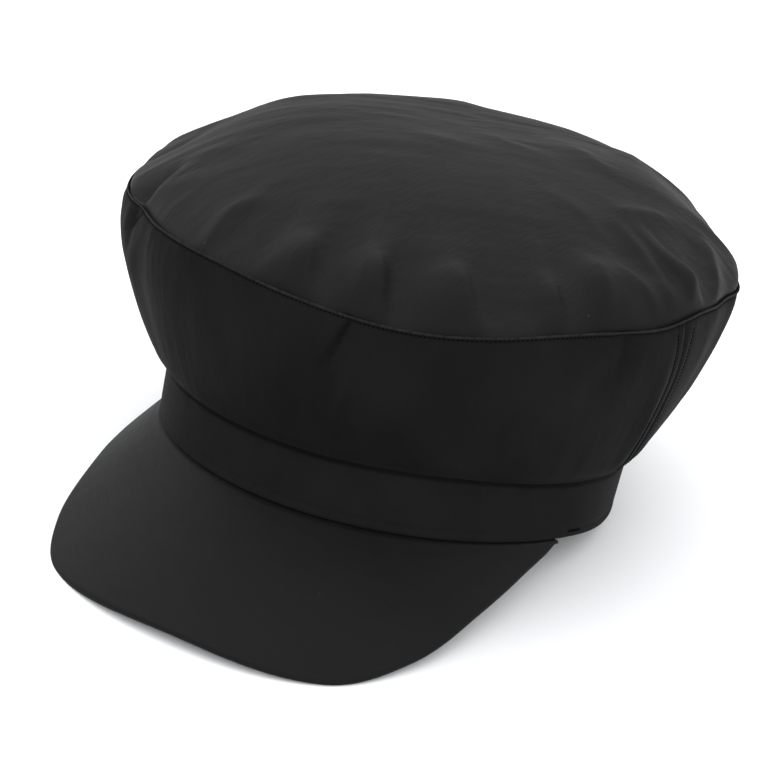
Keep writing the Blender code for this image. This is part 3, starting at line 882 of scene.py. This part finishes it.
def build_peak():
    """The stiff peak under its cover, with a rounded edge and the cover's seam just under it."""
    angles = np.linspace(-PEAK_SPREAD, PEAK_SPREAD_RIGHT, PEAK_STATIONS)
    spread = angles / np.where(angles < 0, PEAK_SPREAD, PEAK_SPREAD_RIGHT)
    edge_radius = PEAK_WALL / 2
    reach = PEAK_REACH * curve_through(PEAK_OUTLINE["spread"], PEAK_OUTLINE["reach"], spread)
    reach = np.maximum(reach, edge_radius + 2 * GAP)
    thick = 1 - PEAK_END_THINNING * smooth(0.93, 1.0, np.abs(spread))
    slope = np.radians(PEAK_SLOPE + (PEAK_END_SLOPE - PEAK_SLOPE) * spread**2)
    point, outward = rim_plan(angles)
    lean = ((point - band_face(angles, np.full_like(angles, PEAK_TURN_UP))) * outward).sum(-1)
    foot = -rim_drop(angles) - GAP
    root = -(BAND_WALL + GAP)

    def blade(share, depth, past=0.0):
        """A row at a share of the way out or past it, at a depth under the peak's upper face."""
        run = (reach - edge_radius) * share + past * thick
        out = np.cos(slope) * run - np.sin(slope) * depth * thick
        level = foot - np.sin(slope) * run - np.cos(slope) * depth * thick
        return upright(point + outward * out[:, None], level)

    rows = [
        upright(point + outward * (root - PEAK_WALL - lean)[:, None], PEAK_TURN_UP),
        upright(point + outward * (root - lean)[:, None], PEAK_TURN_UP),
        upright(point + outward * root, foot),
    ]
    upper = slice(len(rows) + 5, len(rows) + 38)
    rows += [blade(share, 0.0) for share in (*np.linspace(0, 0.9, 30), *np.linspace(0.92, 1, 8))]
    for turn in np.radians(range(18, 180, 18)):
        past = edge_radius * math.sin(turn) * (1.0 + 0.10 * math.sin(turn))
        rows.append(blade(1.0, edge_radius - edge_radius * math.cos(turn), past))
    rows += [blade(share, PEAK_WALL - groove) for share, groove in zip(*PEAK_SEAM.values())]
    rows += [blade(share, PEAK_WALL) for share in np.linspace(0.9, 0.0, 14)]
    rows.append(upright(point + outward * (root - PEAK_WALL), foot - PEAK_WALL * thick * np.cos(slope)))
    points = np.stack(rows, 1)
    relief = rippled(PEAK_RIPPLES, points[..., 0], points[..., 1], PEAK_RIPPLE_MOVE)
    points[:, upper] -= (grid_normals(points, False) * relief[..., None])[:, upper]
    faces, corners = closed_sections(points, True)
    return mesh_piece("peak_cover", points.reshape(-1, 3), faces, corners, layout_of(points, 3, False))


def resample(line, normals, pitch):
    """Evenly spaced points along a line, with the normals there."""
    length = lengths_along(line)
    at = np.arange(pitch / 2, length[-1], pitch)
    points, square = (
        np.stack([np.interp(at, length, values[:, k]) for k in range(3)], 1) for values in (line, normals)
    )
    return points, unit(square)


def add_stitch(points, faces, place, up, way, across):
    """Adds one stitch's points and faces: a short arch of thread."""
    first = len(points)
    for t in np.linspace(-1, 1, THREAD_RINGS):
        lift = THREAD_RADIUS * (0.55 - 1.5 * t**4)
        centre = place + way * t * STITCH_LENGTH / 2 + up * lift
        radius = THREAD_RADIUS * (1 - 0.45 * t**6)
        for k in range(THREAD_SIDES):
            turn = 2 * math.pi * k / THREAD_SIDES
            points.append(centre + (up * math.sin(turn) + across * math.cos(turn)) * radius)
    for low in range(first, len(points) - THREAD_SIDES, THREAD_SIDES):
        for k in range(THREAD_SIDES):
            after = (k + 1) % THREAD_SIDES
            faces.append([low + k, low + THREAD_SIDES + k, low + THREAD_SIDES + after, low + after])
    faces.append(list(range(first, first + THREAD_SIDES)))
    faces.append(list(range(len(points) - THREAD_SIDES, len(points)))[::-1])


def build_stitches(name, lines):
    """One joined mesh of the stitches along lines of points with normals."""
    points, faces = [], []
    for line, square in lines:
        places, ups = resample(line, square, STITCH_PITCH)
        ways = unit(np.gradient(places, axis=0))
        for place, up, way, across in zip(places, ups, ways, np.cross(ways, ups)):
            add_stitch(points, faces, place, up, way, across)
    return mesh_piece(name, np.array(points), faces)


class Wave:
    """A value in a material's nodes. Sums and products of such values add Math nodes."""

    def __init__(self, finish, socket):
        self.finish = finish
        self.socket = socket

    def math(self, operation, other):
        return self.finish.node("ShaderNodeMath", {"operation": operation}, {0: self, 1: other})

    def __add__(self, other):
        return self.math("ADD", other)

    def __sub__(self, other):
        return self.math("SUBTRACT", other)

    def __rsub__(self, other):
        return self.finish.node("ShaderNodeMath", {"operation": "SUBTRACT"}, {0: other, 1: self})

    def __mul__(self, other):
        return self.math("MULTIPLY", other)

    __radd__ = __add__
    __rmul__ = __mul__


class Finish:
    """The nodes of a material or of the room's light that is being made."""

    def __init__(self, owner):
        self.owner = owner
        owner.use_nodes = True
        self.tree = owner.node_tree
        self.tree.nodes.clear()

    def node(self, kind, settings=(), sockets=(), output=0):
        """Adds a node: its settings first, then the values or links of its sockets. Returns one output."""
        node = self.tree.nodes.new(kind)
        for name, value in dict(settings).items():
            if name == "stops":
                ramp = node.color_ramp.elements
                while len(ramp) < len(value):
                    ramp.new(0.5)
                for element, (place, shade) in zip(ramp, value):
                    element.position = place
                    element.color = (shade, shade, shade, 1.0)
            else:
                setattr(node, name, value)
        for name, value in dict(sockets).items():
            if isinstance(value, Wave):
                self.tree.links.new(value.socket, node.inputs[name])
            else:
                node.inputs[name].default_value = value
        return Wave(self, node.outputs[output]) if node.outputs else None

    def noise(self, vector, scale, stretch, turn, detail, roughness):
        """Noise over the flat cloth, drawn out by stretch along one direction turned in degrees."""
        laid = {
            "Vector": vector,
            "Rotation": (0, 0, math.radians(turn)),
            "Scale": (stretch / scale, 1 / scale, 1),
        }
        laid = self.node("ShaderNodeMapping", {"vector_type": "TEXTURE"}, laid)
        sockets = {"Vector": laid, "Scale": 1.0, "Detail": detail, "Roughness": roughness}
        return self.node("ShaderNodeTexNoise", {}, sockets)

    def tint(self, factor, first, second):
        return self.node("ShaderNodeMix", {"data_type": "RGBA"}, {0: factor, 6: first, 7: second}, 2)

    def surface(self, sockets):
        """Ends the material with a principled surface."""
        shader = self.node("ShaderNodeBsdfPrincipled", {}, sockets)
        self.node("ShaderNodeOutputMaterial", {}, {"Surface": shader})
        return self.owner


def shaded(shade, share):
    """A shade made darker or lighter, as a colour."""
    return (*(value * share for value in shade), 1.0)


def satin_cloth(name, shade, grain_turn, streak, rough, shine):
    """Black satin-faced cloth: fine twill, drawn-out crinkles, uneven sheen and a little lint."""
    finish = Finish(bpy.data.materials.new(name))
    flat = finish.node("ShaderNodeUVMap", {"uv_map": "cloth"})
    twill = finish.node(
        "ShaderNodeTexWave",
        {"bands_direction": "DIAGONAL"},
        {"Vector": flat, "Scale": 420.0, "Distortion": 0.6, "Detail": 1.0, "Detail Scale": 2.0},
    )
    crinkle = finish.noise(flat, scale=900.0, stretch=9.0, turn=grain_turn, detail=4.0, roughness=0.6)
    crease = finish.noise(flat, scale=240.0, stretch=5.0, turn=grain_turn - 18, detail=4.0, roughness=0.55)
    mottle = finish.noise(flat, scale=30.0, stretch=1.6, turn=grain_turn, detail=3.0, roughness=0.5)
    slub = finish.noise(flat, scale=2600.0, stretch=26.0, turn=90.0, detail=2.0, roughness=0.5)
    height = crinkle * streak + crease * (streak * 0.9) + twill * 0.05 + slub * 0.10
    bump = finish.node("ShaderNodeBump", {}, {"Strength": 0.55, "Distance": 0.00035, "Height": height})
    cells = finish.node("ShaderNodeTexVoronoi", {}, {"Vector": flat, "Scale": 95.0})
    chosen = finish.noise(flat, scale=60.0, stretch=1.0, turn=0.0, detail=1.0, roughness=0.5)
    fleck = cells.math("LESS_THAN", 0.020) * chosen.math("GREATER_THAN", 0.60)
    patches = finish.node("ShaderNodeValToRGB", {"stops": ((0.30, 0.0), (0.75, 1.0))}, {"Fac": mottle})
    colour = finish.tint(patches, shaded(shade, 0.80), shaded(shade, 1.28))
    colour = finish.tint(fleck * 0.5, colour, LINT_COLOUR)
    # Painted highlight: where a piece carries it, the cloth's colour goes over to a lighter one along the
    # seam edge
    worn = finish.node("ShaderNodeAttribute", {"attribute_name": "worn"}, {}, 2)
    return finish.surface(
        {
            "Base Color": finish.tint(worn, colour, PAINTED_HIGHLIGHT_COLOUR),
            "Roughness": crinkle * 0.16 + mottle * 0.10 + (rough - 0.13),
            "Specular IOR Level": shine,
            "Sheen Weight": 0.015,
            "Sheen Roughness": 0.35,
            "Sheen Tint": (0.86, 0.84, 0.86, 1.0),
            "Normal": bump,
        }
    )


def thread_finish(name, shade):
    """Matt black sewing thread."""
    finish = Finish(bpy.data.materials.new(name))
    place = finish.node("ShaderNodeTexCoord", {}, {}, 3)
    fuzz = finish.node("ShaderNodeTexNoise", {}, {"Vector": place, "Scale": 3200.0, "Detail": 2.0})
    bump = finish.node("ShaderNodeBump", {}, {"Strength": 0.4, "Distance": 0.0001, "Height": fuzz})
    return finish.surface(
        {
            "Base Color": finish.tint(fuzz, shaded(shade, 0.7), shaded(shade, 1.3)),
            "Roughness": 0.9,
            "Specular IOR Level": 0.02,
            "Normal": bump,
        }
    )


def finish_piece(piece, material, node):
    piece.data.materials.append(material)
    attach(piece, "root")
    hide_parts(node)


def soft_light(name, place, width, depth, power):
    """A large rectangular lamp that is turned towards the cap."""
    lamp = bpy.data.lights.new(name, "AREA")
    lamp.shape = "RECTANGLE"
    lamp.size, lamp.size_y = width, depth
    lamp.energy = power
    item = bpy.data.objects.new(name, lamp)
    item.location = place
    item.rotation_euler = (Vector(LIT_MIDDLE) - item.location).to_track_quat("-Z", "Y").to_euler()
    bpy.context.scene.collection.objects.link(item)


def build_floor():
    """A wide white floor."""
    size = FLOOR_HALF_SIZE
    corners = [(-size, -size, 0), (size, -size, 0), (size, size, 0), (-size, size, 0)]
    mesh = bpy.data.meshes.new("floor")
    mesh.from_pydata(corners, [], [(0, 1, 2, 3)])
    floor = bpy.data.objects.new("floor", mesh)
    bpy.context.scene.collection.objects.link(floor)
    finish = Finish(bpy.data.materials.new("white_floor"))
    white = {"Base Color": (0.93, 0.935, 0.94, 1.0), "Roughness": 0.9, "Specular IOR Level": 0.1}
    mesh.materials.append(finish.surface(white))


def build_room():
    """The light of a room that is brighter overhead than at the horizon."""
    room = Finish(bpy.data.worlds.new("bright_room"))
    place = room.node("ShaderNodeTexCoord")
    level = room.node("ShaderNodeSeparateXYZ", {}, {"Vector": place}, 2)
    ranges = {"From Min": 0.0, "From Max": ROOM_TOP, "To Min": ROOM_LOW, "To Max": ROOM_HIGH}
    glow = room.node("ShaderNodeMapRange", {}, {"Value": level, **ranges})
    light = room.node("ShaderNodeBackground", {}, {"Color": (0.97, 0.985, 1.0, 1.0), "Strength": glow})
    room.node("ShaderNodeOutputWorld", {}, {"Surface": light})
    bpy.context.scene.world = room.owner


def build_studio():
    """A white floor and soft lights in a bright room."""
    build_floor()
    build_room()
    for light in zip(*LIGHTS.values()):
        soft_light(*light)


def build_camera():
    turn, rise = math.radians(VIEW_AZIMUTH), math.radians(VIEW_ELEVATION)
    back = Vector((math.sin(turn) * math.cos(rise), -math.cos(turn) * math.cos(rise), math.sin(rise)))
    right = Vector((math.cos(turn), math.sin(turn), 0))
    up = back.cross(right)
    aim_at = Vector(REST_PLACE) + right * VIEW_AIM_RIGHT + up * VIEW_AIM_UP
    camera = bpy.data.objects.new("camera", bpy.data.cameras.new("camera"))
    camera.data.lens = VIEW_LENS
    camera.data.sensor_width = 36.0
    camera.data.clip_start = 0.01
    axes = Matrix((right, up, back)).transposed().to_4x4()
    roll = Matrix.Rotation(math.radians(VIEW_ROLL), 4, "Z")
    camera.matrix_world = Matrix.Translation(aim_at + back * VIEW_DISTANCE) @ axes @ roll
    bpy.context.scene.collection.objects.link(camera)
    bpy.context.scene.camera = camera


def main():
    build_camera()
    build_studio()
    foot, top = SIDE_SEAM_FOOT_ANGLE, SIDE_SEAM_TOP_ANGLE
    clear = math.degrees(GAP / SEAM_HALF_WIDTH) / 2
    front_ends = (-foot + clear, foot - clear, -top + clear, top - clear)
    back_ends = (foot + clear, 360 - foot - clear, top + clear, 360 - top - clear)
    front, front_lines = build_side("front_side_cloth", FRONT_SPACING, *front_ends)
    back, back_lines = build_side("back_side_cloth", BACK_SPACING, *back_ends)
    crown = build_crown()
    band, tack = build_band()
    peak = build_peak()
    satins = {name: satin_cloth(name, *look) for name, *look in zip(*CLOTHS.values())}
    dressed = (
        (crown, "crown_satin", "crown_top", "crown_cloth"),
        (front, "side_satin", "side_front", "side_cloth"),
        (back, "side_satin", "side_back", "side_cloth"),
        (band, "band_satin", "band", "band_cloth"),
        (peak, "peak_satin", "peak", "peak_cloth"),
    )
    for piece, satin, node, slot in dressed:
        finish_piece(piece, satins[satin], node)
    thread = thread_finish("black_thread", THREAD_SHADE)
    stitched = (
        ("front_topstitching", front_lines, "side_cloth"),
        ("back_topstitching", back_lines, "side_cloth"),
        ("hem_bar_tack", tack, "band_cloth"),
    )
    for name, lines, slot in stitched:
        piece = build_stitches(name, lines)
        piece.data.materials.append(thread)
        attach(piece, "root")
    bpy.context.scene.view_settings.view_transform = "Standard"
    bpy.context.view_layer.update()


main()
